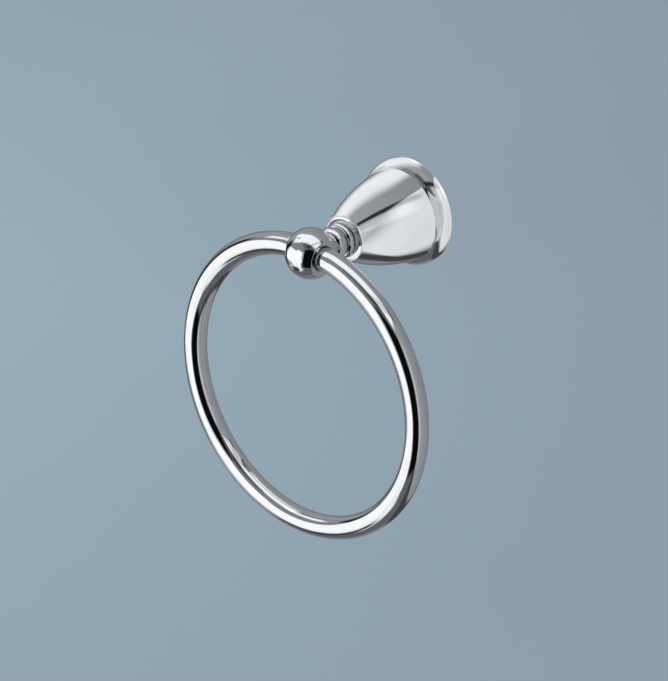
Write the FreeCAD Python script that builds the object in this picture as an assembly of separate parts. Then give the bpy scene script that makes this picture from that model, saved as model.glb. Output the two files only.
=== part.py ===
import FreeCAD, Part
import math
import os

from FreeCAD import Vector

# A wall towel ring: a hollow bell-shaped post, a turned ball end and a tubular ring that hangs in it.
# The origin is the middle of the flange on the wall, +Z is up and the object stands out along -Y.
# Every distance below is measured from the wall outwards, and every radius from the post's axis.

# Ring
RING_OUTER_DIAMETER = 162.0
TUBE_DIAMETER = 11.9
TUBE_WALL = 1.2
STRAIGHT_BEYOND_BALL = 1.8
SHOULDER_BEND_RADIUS = 25.0

# Ball end
BALL_DIAMETER = 25.9
BALL_FACET_DISTANCE = 9.0
RING_CLEARANCE = 0.3
FACET_LAND = 0.5
DISH_DEPTH = 0.9
BASE_RING_RADIUS = 9.4
BASE_RING_THICKNESS = 0.8
BASE_RING_BULGE = 0.35
FIRST_GROOVE_RADIUS = 8.3
FIRST_GROOVE_WIDTH = 0.3
FIRST_BEAD_LENGTH = 3.9
FIRST_BEAD_BULGE = 1.35
SECOND_GROOVE_RADIUS = 7.6
SECOND_GROOVE_WIDTH = 0.6
SECOND_BEAD_LENGTH = 6.3
SECOND_BEAD_BULGE = 1.6
NECK_RADIUS = 6.5
NECK_LENGTH = 1.0
SPIGOT_RADIUS = 5.0
SPIGOT_LENGTH = 1.8
SPIGOT_CLEARANCE = 0.1

# Post shell
FLANGE_RADIUS = 28.0
FLANGE_EDGE_BREAK = 0.3
FLANGE_RIM_HEIGHT = 1.2
FLANGE_ROLL_BULGE = 1.1
FLANGE_STEP = 3.7
VALLEY_DISTANCE = 8.5
BELL_BULGE = 2.3
COLLAR_RADIUS = 11.9
COLLAR_SETBACK = 1.4
COLLAR_BEAD_LENGTH = 1.0
COLLAR_BEAD_BULGE = 0.45
COLLAR_FACE_RADIUS = 10.0
SEAT_DISTANCE = 50.2
SHELL_WALL = 2.6
WEB_THICKNESS = 4.0

# Wall bracket
BRACKET_THICKNESS = 1.6
BRACKET_WIDTH = 22.0
BRACKET_RIM_GAP = 7.06
BRACKET_INNER_BEND = 1.2
BRACKET_LIP_LENGTH = 5.6
BRACKET_LIP_ANGLE = 45.0
BRACKET_CORNER_RADIUS = 3.0
WALL_SCREW_BEND_GAP = 5.0
WALL_SCREW_HOLE_CLEARANCE = 0.2

# What the shell has inside for the bracket
HOOK_CLEARANCE = 0.05
HOOK_WALL_RECESS = 0.5
HOOK_DEPTH = 4.5
CHEEK_CLEARANCE = 0.3
CHEEK_THICKNESS = 1.8
CHEEK_FOOT_HEIGHT = 12.5
BOSS_WIDTH = 8.4
BOSS_DEPTH = 6.2
BOSS_CLEARANCE = 0.6

# Fasteners
WALL_SCREW_RADIUS = 2.1
WALL_SCREW_LENGTH = 19.0
WALL_SCREW_POINT = 4.0
WALL_SCREW_NECK_LENGTH = 2.0
WALL_SCREW_HEAD_RADIUS = 4.0
WALL_SCREW_HEAD_HEIGHT = 2.9
BALL_SCREW_RADIUS = 3.0
BALL_SCREW_LENGTH = 14.0
BALL_SCREW_POINT = 0.8
BALL_SCREW_NECK_LENGTH = 1.0
BALL_SCREW_HEAD_RADIUS = 5.5
BALL_SCREW_HEAD_HEIGHT = 3.7
BALL_SCREW_HOLE_CLEARANCE = 0.2
THREAD_CLEARANCE = 0.05
TAPPED_HOLE_RUNOUT = 1.5
DRILL_POINT_ANGLE = 118.0
WASHER_THICKNESS = 1.4
WASHER_OUTER_RADIUS = 5.4
WASHER_CLEARANCE = 0.1
WASHER_SLIT = 1.0
WASHER_SLIT_LEAN = 25.0
SET_SCREW_RADIUS = 2.0
SET_SCREW_LENGTH = 6.0
SET_SCREW_DISTANCE = 3.2
SET_SCREW_TIP_RADIUS = 1.25
SET_SCREW_TIP_CLEARANCE = 0.05
HEX_KEY_WIDTH = 2.0
HEX_KEY_DEPTH = 2.4
HEAD_RIM_SHARE = 0.4
HEAD_FLAT_SHARE = 0.65
HEAD_CROWN_SHARE = 0.12
SCREW_NECK_SHARE = 0.86
POINT_TAPER_SHARE = 0.85
RECESS_SPAN_SHARE = 0.55
RECESS_DEPTH_SHARE = 0.6
RECESS_BLADE_SHARE = 0.17

# Worked out from the sizes above
RIGHT = Vector(1, 0, 0)
INTO_WALL = Vector(0, 1, 0)
UP = Vector(0, 0, 1)
TUBE_RADIUS = TUBE_DIAMETER / 2
RING_RADIUS = RING_OUTER_DIAMETER / 2 - TUBE_RADIUS
BALL_RADIUS = BALL_DIAMETER / 2
BORE_RADIUS = TUBE_RADIUS + RING_CLEARANCE
HALF_STRAIGHT = BALL_FACET_DISTANCE + STRAIGHT_BEYOND_BALL
VALLEY_RADIUS = FLANGE_RADIUS - FLANGE_STEP
COLLAR_DISTANCE = SEAT_DISTANCE - COLLAR_SETBACK
WEB_DISTANCE = SEAT_DISTANCE - WEB_THICKNESS
SPIGOT_DISTANCE = SEAT_DISTANCE - SPIGOT_LENGTH
SCREW_HEAD_DISTANCE = WEB_DISTANCE - WASHER_THICKNESS
FIRST_BEAD_DISTANCE = SEAT_DISTANCE + BASE_RING_THICKNESS + FIRST_GROOVE_WIDTH
SECOND_BEAD_DISTANCE = FIRST_BEAD_DISTANCE + FIRST_BEAD_LENGTH + SECOND_GROOVE_WIDTH
NECK_END_DISTANCE = SECOND_BEAD_DISTANCE + SECOND_BEAD_LENGTH + NECK_LENGTH
BALL_DISTANCE = NECK_END_DISTANCE + math.sqrt(BALL_RADIUS ** 2 - NECK_RADIUS ** 2)
LIP_SIN = math.sin(math.radians(BRACKET_LIP_ANGLE))
LIP_COS = math.cos(math.radians(BRACKET_LIP_ANGLE))
BEND_OUTER_RADIUS = BRACKET_INNER_BEND + BRACKET_THICKNESS
LIP_TIP_HEIGHT = FLANGE_RADIUS - BRACKET_RIM_GAP
HALF_FLAT_HEIGHT = LIP_TIP_HEIGHT - BEND_OUTER_RADIUS * LIP_SIN - BRACKET_LIP_LENGTH * LIP_COS
WALL_SCREW_HEIGHT = HALF_FLAT_HEIGHT - WALL_SCREW_BEND_GAP


def at(radius, distance):
    """Point of a turned profile, at a radius from the axis and a distance from the wall."""
    return Vector(radius, -distance, 0)


def line(start, end):
    return Part.makeLine(start, end)


def bulged(start, end, bulge):
    """Arc from start to end that stands out from the chord by the bulge, away from the axis."""
    chord = end - start
    across = Vector(-chord.y, chord.x, 0).normalize()
    middle = (start + end) * 0.5 + across * bulge
    return Part.Arc(start, middle, end).toShape()


def turned(edges):
    """Solid turned about the post's axis from a closed chain of edges."""
    return Part.Face(Part.Wire(edges)).revolve(Vector(), INTO_WALL, 360)


def rod(radius, length, start, direction):
    return Part.makeCylinder(radius, length, start, direction)


def side_profile(points, half_width):
    """Prism of a closed outline given as (height, distance) pairs, as wide as twice half_width."""
    corners = [Vector(-half_width, -distance, height) for height, distance in points]
    outline = Part.makePolygon(corners + corners[:1])
    return Part.Face(outline).extrude(RIGHT * (2 * half_width))


def block(low_x, high_x, low_distance, high_distance, low_z, high_z):
    corner = Vector(low_x, -high_distance, low_z)
    return Part.makeBox(high_x - low_x, high_distance - low_distance, high_z - low_z, corner)


# Ring: a closed tube with a short straight run that lies in the ball's bore

def shoulder_angle():
    """Angle of the bend between the straight run and the round of the ring."""
    return math.asin(HALF_STRAIGHT / (RING_RADIUS - SHOULDER_BEND_RADIUS))


def ring_drop():
    """How far the round's centre lies below the straight run."""
    rise = (RING_RADIUS - SHOULDER_BEND_RADIUS) * math.cos(shoulder_angle())
    return rise + SHOULDER_BEND_RADIUS


def ring_core(radius):
    """Solid bar of the given radius along the ring's centre line."""
    bend = math.degrees(shoulder_angle())
    pivot = Vector(0, -BALL_DISTANCE, 0)
    end = pivot + RIGHT * HALF_STRAIGHT
    bar = rod(radius, 2 * HALF_STRAIGHT, pivot - RIGHT * HALF_STRAIGHT, RIGHT)
    section = Part.Face(Part.Wire(Part.makeCircle(radius, end, RIGHT)))
    shoulder = section.revolve(end - UP * SHOULDER_BEND_RADIUS, INTO_WALL, bend)
    other_shoulder = shoulder.mirror(pivot, RIGHT)
    centre = pivot - UP * ring_drop()
    start = Part.Face(Part.Wire(Part.makeCircle(radius, centre + UP * RING_RADIUS, RIGHT)))
    start.rotate(centre, INTO_WALL, bend)
    round_bar = start.revolve(centre, INTO_WALL, 360 - 2 * bend)
    return bar.multiFuse([shoulder, round_bar, other_shoulder]).removeSplitter()


def ring():
    return ring_core(TUBE_RADIUS).cut(ring_core(TUBE_RADIUS - TUBE_WALL))


# Ball end: one turned piece with a spigot, two beads and the drilled ball

def ball_end_body():
    base = SEAT_DISTANCE + BASE_RING_THICKNESS
    first_end = FIRST_BEAD_DISTANCE + FIRST_BEAD_LENGTH
    second_end = SECOND_BEAD_DISTANCE + SECOND_BEAD_LENGTH
    base_edge = BASE_RING_RADIUS - BASE_RING_BULGE
    spigot_middle = at(0, SPIGOT_DISTANCE)
    spigot = at(SPIGOT_RADIUS, SPIGOT_DISTANCE)
    tip = at(0, BALL_DISTANCE + BALL_RADIUS)
    shoulder = at(SPIGOT_RADIUS, SEAT_DISTANCE)
    ball_side = at(BALL_RADIUS, BALL_DISTANCE)
    neck = at(NECK_RADIUS, NECK_END_DISTANCE)
    first_groove = at(FIRST_GROOVE_RADIUS, FIRST_BEAD_DISTANCE)
    second_groove = at(SECOND_GROOVE_RADIUS, SECOND_BEAD_DISTANCE)
    edges = [
        line(spigot_middle, spigot),
        line(spigot, shoulder),
        line(shoulder, at(base_edge, SEAT_DISTANCE)),
        bulged(at(base_edge, SEAT_DISTANCE), at(base_edge, base), BASE_RING_BULGE),
        line(at(base_edge, base), first_groove),
        bulged(first_groove, at(SECOND_GROOVE_RADIUS, first_end), FIRST_BEAD_BULGE),
        line(at(SECOND_GROOVE_RADIUS, first_end), second_groove),
        bulged(second_groove, at(NECK_RADIUS, second_end), SECOND_BEAD_BULGE),
        line(at(NECK_RADIUS, second_end), neck),
        Part.Arc(neck, ball_side, tip).toShape(),
        line(tip, spigot_middle),
    ]
    return turned(edges)


def ring_bore():
    """Bore for the ring with a shallow dish at each mouth, inside a narrow flat land."""
    centre = Vector(0, -BALL_DISTANCE, 0)
    facet_radius = math.sqrt(BALL_RADIUS ** 2 - BALL_FACET_DISTANCE ** 2)
    bore = rod(BORE_RADIUS, 2 * BALL_DIAMETER, centre - RIGHT * BALL_DIAMETER, RIGHT)
    dish = Part.makeCone(
        BORE_RADIUS, facet_radius - FACET_LAND, DISH_DEPTH,
        centre + RIGHT * (BALL_FACET_DISTANCE - DISH_DEPTH), RIGHT)
    return bore.multiFuse([dish, dish.mirror(centre, RIGHT)])


def tapped_hole():
    """Blind hole for the ball screw, drilled from the spigot's end."""
    radius = BALL_SCREW_RADIUS + THREAD_CLEARANCE
    depth = SCREW_HEAD_DISTANCE + BALL_SCREW_LENGTH + TAPPED_HOLE_RUNOUT - SPIGOT_DISTANCE
    start = Vector(0, -SPIGOT_DISTANCE, 0)
    point_depth = radius / math.tan(math.radians(DRILL_POINT_ANGLE / 2))
    drill_point = Part.makeCone(radius, 0, point_depth, start - INTO_WALL * depth, -INTO_WALL)
    return rod(radius, depth, start, -INTO_WALL).fuse(drill_point)


def ball_end():
    body = ball_end_body()
    for side in (-1, 1):
        beyond = Part.makeBox(
            BALL_RADIUS, BALL_DIAMETER, BALL_DIAMETER,
            Vector(-BALL_RADIUS / 2, -BALL_DISTANCE - BALL_RADIUS, -BALL_RADIUS))
        beyond.translate(RIGHT * side * (BALL_FACET_DISTANCE + BALL_RADIUS / 2))
        body = body.cut(beyond)
    return body.cut(ring_bore()).cut(tapped_hole())


# Post shell: the bell with its flange, hollow from behind

def skirt_edges(inset):
    """The shell's outside from the wall to the collar, moved towards the axis by the inset."""
    rim = at(FLANGE_RADIUS - inset, FLANGE_RIM_HEIGHT)
    valley = at(VALLEY_RADIUS - inset, VALLEY_DISTANCE)
    collar = at(COLLAR_RADIUS - inset, COLLAR_DISTANCE)
    return [bulged(rim, valley, FLANGE_ROLL_BULGE), bulged(valley, collar, BELL_BULGE)]


def shell_envelope():
    """The shell's outside as a solid body."""
    foot = at(FLANGE_RADIUS - FLANGE_EDGE_BREAK, 0)
    edge = at(FLANGE_RADIUS, FLANGE_EDGE_BREAK)
    rim = at(FLANGE_RADIUS, FLANGE_RIM_HEIGHT)
    collar = at(COLLAR_RADIUS, COLLAR_DISTANCE)
    collar_front = at(COLLAR_RADIUS - COLLAR_BEAD_BULGE, COLLAR_DISTANCE + COLLAR_BEAD_LENGTH)
    seat = at(COLLAR_FACE_RADIUS, SEAT_DISTANCE)
    edges = [line(Vector(), foot), line(foot, edge), line(edge, rim)]
    edges += skirt_edges(0)
    edges += [
        bulged(collar, collar_front, COLLAR_BEAD_BULGE),
        line(collar_front, seat),
        line(seat, at(0, SEAT_DISTANCE)),
        line(at(0, SEAT_DISTANCE), Vector()),
    ]
    return turned(edges)


def shell_core(inset):
    """The space inside the shell's outside, moved in by the inset and closed in front by the web."""
    mouth = at(FLANGE_RADIUS - inset, 0)
    rim = at(FLANGE_RADIUS - inset, FLANGE_RIM_HEIGHT)
    collar = at(COLLAR_RADIUS - inset, COLLAR_DISTANCE)
    edges = [line(Vector(), mouth), line(mouth, rim)]
    edges += skirt_edges(inset)
    edges += [line(collar, at(0, COLLAR_DISTANCE)), line(at(0, COLLAR_DISTANCE), Vector())]
    return turned(edges).common(rod(FLANGE_RADIUS, WEB_DISTANCE, Vector(), -INTO_WALL))


def bracket_hook():
    """Wedge and two cheeks in the top of the flange that hook over the bracket's upper lip."""
    near = HOOK_WALL_RECESS
    far = near + HOOK_DEPTH
    low = lip_back_height(near) + HOOK_CLEARANCE
    high = lip_back_height(far) + HOOK_CLEARANCE
    half_slot = BRACKET_WIDTH / 2 + CHEEK_CLEARANCE
    outside = half_slot + CHEEK_THICKNESS
    outline = [(low, near), (high, far), (FLANGE_RADIUS, far), (FLANGE_RADIUS, near)]
    pieces = [side_profile(outline, half_slot)]
    for side in (-outside, half_slot):
        pieces.append(block(side, side + CHEEK_THICKNESS, near, far, CHEEK_FOOT_HEIGHT, FLANGE_RADIUS))
    return pieces[0].multiFuse(pieces[1:])


def set_screw_boss():
    """Thickening inside the bottom of the flange that the set screw is tapped through."""
    top = -LIP_TIP_HEIGHT - BOSS_CLEARANCE
    half = BOSS_WIDTH / 2
    return block(-half, half, HOOK_WALL_RECESS, HOOK_WALL_RECESS + BOSS_DEPTH, -FLANGE_RADIUS, top)


def set_screw_hole():
    start = Vector(0, -SET_SCREW_DISTANCE, -2 * FLANGE_RADIUS)
    return rod(SET_SCREW_RADIUS + THREAD_CLEARANCE, 2 * FLANGE_RADIUS - LIP_TIP_HEIGHT / 2, start, UP)


def post_shell():
    inner = bracket_hook().fuse(set_screw_boss()).common(shell_core(SHELL_WALL / 2))
    shell = shell_envelope().cut(shell_core(SHELL_WALL)).fuse(inner)
    screw_hole = rod(
        BALL_SCREW_RADIUS + BALL_SCREW_HOLE_CLEARANCE, WEB_THICKNESS,
        Vector(0, -WEB_DISTANCE, 0), -INTO_WALL)
    recess_depth = SPIGOT_LENGTH + SPIGOT_CLEARANCE
    spigot_recess = rod(
        SPIGOT_RADIUS + SPIGOT_CLEARANCE, recess_depth,
        Vector(0, -SEAT_DISTANCE, 0), INTO_WALL)
    return shell.cut(screw_hole).cut(spigot_recess).cut(set_screw_hole()).removeSplitter()


# Wall bracket: one bent strip with a lip at each end

def lip_back_height(distance):
    """Height of the upper lip's sloping back at a distance from the wall."""
    bend_end_height = HALF_FLAT_HEIGHT + BEND_OUTER_RADIUS * LIP_SIN
    bend_end_distance = BEND_OUTER_RADIUS * (1 - LIP_COS)
    return bend_end_height + (distance - bend_end_distance) * LIP_COS / LIP_SIN


def bend_point(radius, degrees):
    """Point of the upper bend at an angle from the flat, as (height, distance)."""
    angle = math.radians(degrees)
    height = HALF_FLAT_HEIGHT + radius * math.sin(angle)
    return height, BEND_OUTER_RADIUS - radius * math.cos(angle)


def strip_half():
    """Upper half of the bent strip, from the axis up to the lip's end."""
    def corner(pair):
        return Vector(-BRACKET_WIDTH / 2, -pair[1], pair[0])

    def bend(radius):
        turns = (0, BRACKET_LIP_ANGLE / 2, BRACKET_LIP_ANGLE)
        return Part.Arc(*[corner(bend_point(radius, turn)) for turn in turns]).toShape()

    slope = Vector(0, -LIP_SIN, LIP_COS) * BRACKET_LIP_LENGTH
    back_middle = corner((0, 0))
    front_middle = corner((0, BRACKET_THICKNESS))
    back_bend_end = corner(bend_point(BEND_OUTER_RADIUS, BRACKET_LIP_ANGLE))
    front_bend_end = corner(bend_point(BRACKET_INNER_BEND, BRACKET_LIP_ANGLE))
    edges = [
        line(back_middle, corner(bend_point(BEND_OUTER_RADIUS, 0))),
        bend(BEND_OUTER_RADIUS),
        line(back_bend_end, back_bend_end + slope),
        line(back_bend_end + slope, front_bend_end + slope),
        line(front_bend_end + slope, front_bend_end),
        bend(BRACKET_INNER_BEND),
        line(corner(bend_point(BRACKET_INNER_BEND, 0)), front_middle),
        line(front_middle, back_middle),
    ]
    return Part.Face(Part.Wire(Part.sortEdges(edges)[0])).extrude(RIGHT * BRACKET_WIDTH)


def rounded_plate(width, height, radius, depth):
    plate = Part.makeBox(width, depth, height, Vector(-width / 2, -depth, -height / 2))
    corners = [edge for edge in plate.Edges if abs(edge.tangentAt(edge.FirstParameter).y) > 0.9]
    return plate.makeFillet(radius, corners)


def wall_bracket():
    upper = strip_half()
    strip = upper.fuse(upper.mirror(Vector(), UP)).removeSplitter()
    height = 2 * LIP_TIP_HEIGHT
    bracket = strip.common(rounded_plate(BRACKET_WIDTH, height, BRACKET_CORNER_RADIUS, height))
    for side in (-1, 1):
        centre = UP * side * WALL_SCREW_HEIGHT
        radius = WALL_SCREW_RADIUS + WALL_SCREW_HOLE_CLEARANCE
        bracket = bracket.cut(rod(radius, BRACKET_THICKNESS, centre, -INTO_WALL))
    return bracket


# Fasteners

def cross_recess(head_radius, head_height):
    """Tapered cross cut into a head whose top is at the head's height."""
    depth = head_height * RECESS_DEPTH_SHARE
    top = -head_height
    half_span = head_radius * RECESS_SPAN_SHARE
    half_blade = head_radius * RECESS_BLADE_SHARE / 2
    outline = [
        Vector(-half_span, top, 0), Vector(half_span, top, 0),
        Vector(half_blade, top + depth, 0), Vector(-half_blade, top + depth, 0),
    ]
    blade = Part.Face(Part.makePolygon(outline + outline[:1])).extrude(UP * 2 * half_blade)
    blade.translate(-UP * half_blade)
    crossing = blade.copy()
    crossing.rotate(Vector(), INTO_WALL, 90)
    return blade.fuse(crossing)


def pan_screw(radius, length, point, neck_length, head_radius, head_height):
    """Screw with the face under its head at the origin, its shank along +Y and its head along -Y."""
    rim_height = head_height * HEAD_RIM_SHARE
    flat_radius = head_radius * HEAD_FLAT_SHARE
    neck_radius = radius * SCREW_NECK_SHARE
    tip_radius = radius - min(point, radius * POINT_TAPER_SHARE)
    rim_edge = Vector(head_radius, -rim_height, 0)
    flat_edge = Vector(flat_radius, -head_height, 0)
    edges = [
        line(Vector(0, -head_height, 0), Vector(0, length, 0)),
        line(Vector(0, length, 0), Vector(tip_radius, length, 0)),
        line(Vector(tip_radius, length, 0), Vector(radius, length - point, 0)),
        line(Vector(radius, length - point, 0), Vector(radius, neck_length, 0)),
        line(Vector(radius, neck_length, 0), Vector(neck_radius, neck_length, 0)),
        line(Vector(neck_radius, neck_length, 0), Vector(neck_radius, 0, 0)),
        line(Vector(neck_radius, 0, 0), Vector(head_radius, 0, 0)),
        line(Vector(head_radius, 0, 0), rim_edge),
        bulged(rim_edge, flat_edge, head_height * HEAD_CROWN_SHARE),
        line(flat_edge, Vector(0, -head_height, 0)),
    ]
    return turned(edges).cut(cross_recess(head_radius, head_height))


def wall_screw(side):
    screw = pan_screw(
        WALL_SCREW_RADIUS, WALL_SCREW_LENGTH, WALL_SCREW_POINT,
        WALL_SCREW_NECK_LENGTH, WALL_SCREW_HEAD_RADIUS, WALL_SCREW_HEAD_HEIGHT)
    screw.translate(Vector(0, -BRACKET_THICKNESS, side * WALL_SCREW_HEIGHT))
    return screw


def ball_screw():
    screw = pan_screw(
        BALL_SCREW_RADIUS, BALL_SCREW_LENGTH, BALL_SCREW_POINT,
        BALL_SCREW_NECK_LENGTH, BALL_SCREW_HEAD_RADIUS, BALL_SCREW_HEAD_HEIGHT)
    screw.rotate(Vector(), UP, 180)
    screw.translate(Vector(0, -SCREW_HEAD_DISTANCE, 0))
    return screw


def lock_washer():
    """Spring washer pressed flat, with its slanted slit."""
    start = Vector(0, -SCREW_HEAD_DISTANCE, 0)
    washer = rod(WASHER_OUTER_RADIUS, WASHER_THICKNESS, start, -INTO_WALL)
    washer = washer.cut(rod(BALL_SCREW_RADIUS + WASHER_CLEARANCE, WASHER_THICKNESS, start, -INTO_WALL))
    middle = start - INTO_WALL * WASHER_THICKNESS / 2
    slit = Part.makeBox(
        WASHER_SLIT, 3 * WASHER_THICKNESS, WASHER_OUTER_RADIUS,
        middle - Vector(WASHER_SLIT / 2, 1.5 * WASHER_THICKNESS, 0))
    slit.rotate(middle, UP, WASHER_SLIT_LEAN)
    return washer.cut(slit)


def set_screw():
    """Headless screw whose tip bears on the sloping back of the bracket's lower lip."""
    touch = SET_SCREW_DISTANCE + SET_SCREW_TIP_RADIUS
    tip = -lip_back_height(touch) - SET_SCREW_TIP_CLEARANCE
    chamfer = SET_SCREW_RADIUS - SET_SCREW_TIP_RADIUS
    foot = tip - SET_SCREW_LENGTH
    start = Vector(0, -SET_SCREW_DISTANCE, foot)
    body = rod(SET_SCREW_RADIUS, SET_SCREW_LENGTH - chamfer, start, UP)
    nose_start = start + UP * (SET_SCREW_LENGTH - chamfer)
    nose = Part.makeCone(SET_SCREW_RADIUS, SET_SCREW_TIP_RADIUS, chamfer, nose_start, UP)
    key_radius = HEX_KEY_WIDTH / math.sqrt(3)
    corners = []
    for step in range(6):
        angle = math.radians(60 * step)
        corners.append(start + Vector(math.cos(angle), math.sin(angle), 0) * key_radius)
    socket = Part.Face(Part.makePolygon(corners + corners[:1])).extrude(UP * HEX_KEY_DEPTH)
    return body.fuse(nose).cut(socket)


PIECES = {
    "ring": ring(),
    "ball_end": ball_end(),
    "post_shell": post_shell(),
    "wall_bracket": wall_bracket(),
    "ball_screw": ball_screw(),
    "lock_washer": lock_washer(),
    "set_screw": set_screw(),
    "wall_screw_upper": wall_screw(1),
    "wall_screw_lower": wall_screw(-1),
}

os.makedirs("parts", exist_ok=True)
for name, shape in PIECES.items():
    shape.exportStep(f"parts/{name}.step")
    print(name, shape.isValid(), len(shape.Solids), round(shape.Volume, 1))
print("ring drop", round(ring_drop(), 3), "ball distance", round(BALL_DISTANCE, 4))
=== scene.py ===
# %% [markdown]
# # A chrome towel ring
# The object is a towel ring of polished chrome: a bell-shaped post, a turned ball end and a round ring that
# swings in the ball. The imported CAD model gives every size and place. Blender gives the looks: smooth
# meshes for the mirror surfaces, threads for the hidden screws, finishes, a small studio and a camera.

import bisect
import bmesh
import bpy
import math
from mathutils import Matrix, Vector


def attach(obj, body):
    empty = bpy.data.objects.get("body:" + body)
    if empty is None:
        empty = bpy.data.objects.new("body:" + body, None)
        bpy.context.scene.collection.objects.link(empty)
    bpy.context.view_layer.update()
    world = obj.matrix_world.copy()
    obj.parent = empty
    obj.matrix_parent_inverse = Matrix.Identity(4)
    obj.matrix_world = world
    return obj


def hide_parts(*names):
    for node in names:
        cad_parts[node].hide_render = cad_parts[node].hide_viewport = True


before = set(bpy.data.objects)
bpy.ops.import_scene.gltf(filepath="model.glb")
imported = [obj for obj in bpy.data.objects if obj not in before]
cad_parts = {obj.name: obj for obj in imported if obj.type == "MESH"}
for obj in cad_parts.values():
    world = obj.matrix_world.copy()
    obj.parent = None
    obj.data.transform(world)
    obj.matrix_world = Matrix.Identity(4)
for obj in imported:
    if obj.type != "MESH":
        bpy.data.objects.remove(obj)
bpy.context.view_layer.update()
print("nodes", sorted(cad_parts))

# %% [markdown]
# ## Sizes
# The sizes in this script are the CAD model's own, in millimetres. Blender works in metres, so one factor
# turns them over where a mesh is made. Distances run out from the back of the flange along the post, and
# heights run up. The sizes that several pieces share come first, and the others stand with their piece.

# %% Sizes that several pieces share
MM = 0.001
BALL_DISTANCE = 74.3
SEAT_DISTANCE = 50.2
WEB_DISTANCE = 46.2

# %% [markdown]
# ## Camera
# The photograph looks down at the ring from the right. Its camera was found by fitting the outlines of the
# ring, the ball and the flange, so the angle, the distance and the slight roll below are measured ones.

# %% Directions in the room


def direction(azimuth, elevation):
    """Unit vector to a place in the room: azimuth 0 is straight ahead of the post, 90 is to the right."""
    a, e = math.radians(azimuth), math.radians(elevation)
    return Vector((math.sin(a) * math.cos(e), -math.cos(a) * math.cos(e), math.sin(e)))


def axes_facing(azimuth, elevation, roll):
    """Right, up and outward vectors of a flat thing that stands in a direction and faces the middle."""
    outward = direction(azimuth, elevation)
    right = Vector((math.cos(math.radians(azimuth)), math.sin(math.radians(azimuth)), 0))
    up = outward.cross(right)
    r = math.radians(roll)
    return right * math.cos(r) + up * math.sin(r), up * math.cos(r) - right * math.sin(r), outward


print("straight ahead is", list(direction(0, 0)))

# %% Camera at the photograph's angle
# Angles are in degrees, the lens and its sensor in millimetres, and the two distances in metres.
CAMERA_AZIMUTH = 40.834
CAMERA_ELEVATION = 26.88
CAMERA_ROLL = 3.02
CAMERA_DISTANCE = 2.242
SEES_AS_FAR_AS = 50
LENS = 237.0
SENSOR_WIDTH = 36
RING_MIDDLE = Vector((0, -74.33, -74.29))
PIXELS_PER_MM = 2.0
PIXELS_LEFT_OF_MIDDLE = 30.04
PIXELS_BELOW_MIDDLE = 46.3


def add_camera():
    """Camera that aims past the ring's middle, so that the ring shows left of the middle and low."""
    right, up, back = axes_facing(CAMERA_AZIMUTH, CAMERA_ELEVATION, CAMERA_ROLL)
    to_right = right * (PIXELS_LEFT_OF_MIDDLE / PIXELS_PER_MM)
    to_top = up * (PIXELS_BELOW_MIDDLE / PIXELS_PER_MM)
    aim = RING_MIDDLE + to_right + to_top
    data = bpy.data.cameras.new("camera")
    data.lens = LENS
    data.sensor_width = SENSOR_WIDTH
    data.clip_end = SEES_AS_FAR_AS
    camera = bpy.data.objects.new("camera", data)
    bpy.context.scene.collection.objects.link(camera)
    turn = Matrix((right, up, back)).transposed().to_4x4()
    camera.matrix_world = Matrix.Translation(aim * MM + back * CAMERA_DISTANCE) @ turn
    bpy.context.scene.camera = camera
    return camera


camera = add_camera()
print("camera at", [round(v, 3) for v in camera.location])

# %% [markdown]
# ## Small helpers for finishes
# A finish is a tree of shader nodes. One function adds a node with its settings and links, and one turns a
# colour written in the usual sRGB hex way into the linear numbers that the shader works in. A new material
# starts with an empty tree.

# %% Node and colour helpers


def linear(hex_colour):
    """Linear red, green, blue and alpha of a colour written as #RRGGBB, by the curve of the sRGB standard."""
    values = [int(hex_colour[i:i + 2], 16) / 255 for i in (1, 3, 5)]
    return tuple(v / 12.92 if v <= 0.04045 else ((v + 0.055) / 1.055) ** 2.4 for v in values) + (1.0,)


def add_node(tree, kind, inputs=None, **settings):
    """Add a node. An input is a value to set or another node's socket to link; settings are its options."""
    node = tree.nodes.new(kind)
    for name, value in settings.items():
        setattr(node, name, value)
    for key, value in (inputs or {}).items():
        if isinstance(value, bpy.types.NodeSocket):
            tree.links.new(value, node.inputs[key])
        else:
            node.inputs[key].default_value = value
    return node


def new_material(name):
    material = bpy.data.materials.new(name)
    material.use_nodes = True
    material.node_tree.nodes.clear()
    return material, material.node_tree


print("mid grey as linear light", round(linear("#808080")[0], 3))

# %% [markdown]
# ## Patterns that metals share
# Plating, buffing and casting all leave marks of a known size, so each pattern's scale is worked out from
# millimetres. Wear shows first on outer edges, which the Pointiness of the geometry finds.

# %% Speckle, worn edges and metal
# The Mix node has sockets of one name for numbers, vectors and colours, so its colour ones go by number.
MIX_FACTOR = 0
COLOUR_A = 6
COLOUR_B = 7
MIXED_COLOUR = 2
# Noise stays near 0.5, so a finish spreads only a part of its range from nothing to full.
PATCHES = {"From Min": 0.35, "From Max": 0.65}
WHOLE_NOISE = {"From Min": 0.3, "From Max": 0.7}
UPPER_NOISE = {"From Min": 0.45, "From Max": 0.75}
WORN_EDGE = {"From Min": 0.52, "From Max": 0.62}


def speckle(tree, place, size_mm, detail=2.0, stretch=(1, 1, 1)):
    """Noise whose blobs are about as wide as the size, or drawn out along an axis by the stretch."""
    scale = [1 / (size_mm * MM) / s for s in stretch]
    mapped = add_node(tree, "ShaderNodeMapping", {"Vector": place, "Scale": scale})
    noise = add_node(tree, "ShaderNodeTexNoise", {
        "Vector": mapped.outputs[0], "Scale": 1.0, "Detail": detail})
    return noise.outputs["Fac"]


def worn_edges(tree):
    """0 on faces and hollows, rising to 1 on the sharpest outer edges."""
    sharpness = add_node(tree, "ShaderNodeNewGeometry").outputs["Pointiness"]
    return add_node(tree, "ShaderNodeMapRange", {"Value": sharpness, **WORN_EDGE}).outputs[0]


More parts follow.
